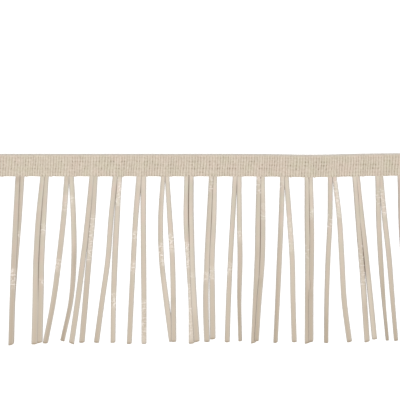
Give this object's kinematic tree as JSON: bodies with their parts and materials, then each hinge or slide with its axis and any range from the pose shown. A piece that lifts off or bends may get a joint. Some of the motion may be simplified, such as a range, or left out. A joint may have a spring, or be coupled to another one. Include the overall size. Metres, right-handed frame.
{
  "type": "fringe trim",
  "caption": "Fringe trim laid face up: pairs of narrow flat leather-look strips hang from a ribbed knitted heading tape that is sewn or glued along an edge.",
  "frame": {"origin": "middle of the trim's box, on the surface that its flat back rests on", "axes": "+X along the heading tape, +Y from the strips' tips towards the heading tape, +Z out of the trim's face"},
  "size_m": [0.3456, 0.1534, 0.0023],
  "materials": {
    "heading_yarn": "matte knitted yarn",
    "strip_leather": "satin"
  },
  "bodies": {
    "root": {"heading_tape": "heading_yarn", "strips": "strip_leather"}
  },
  "joints": []
}
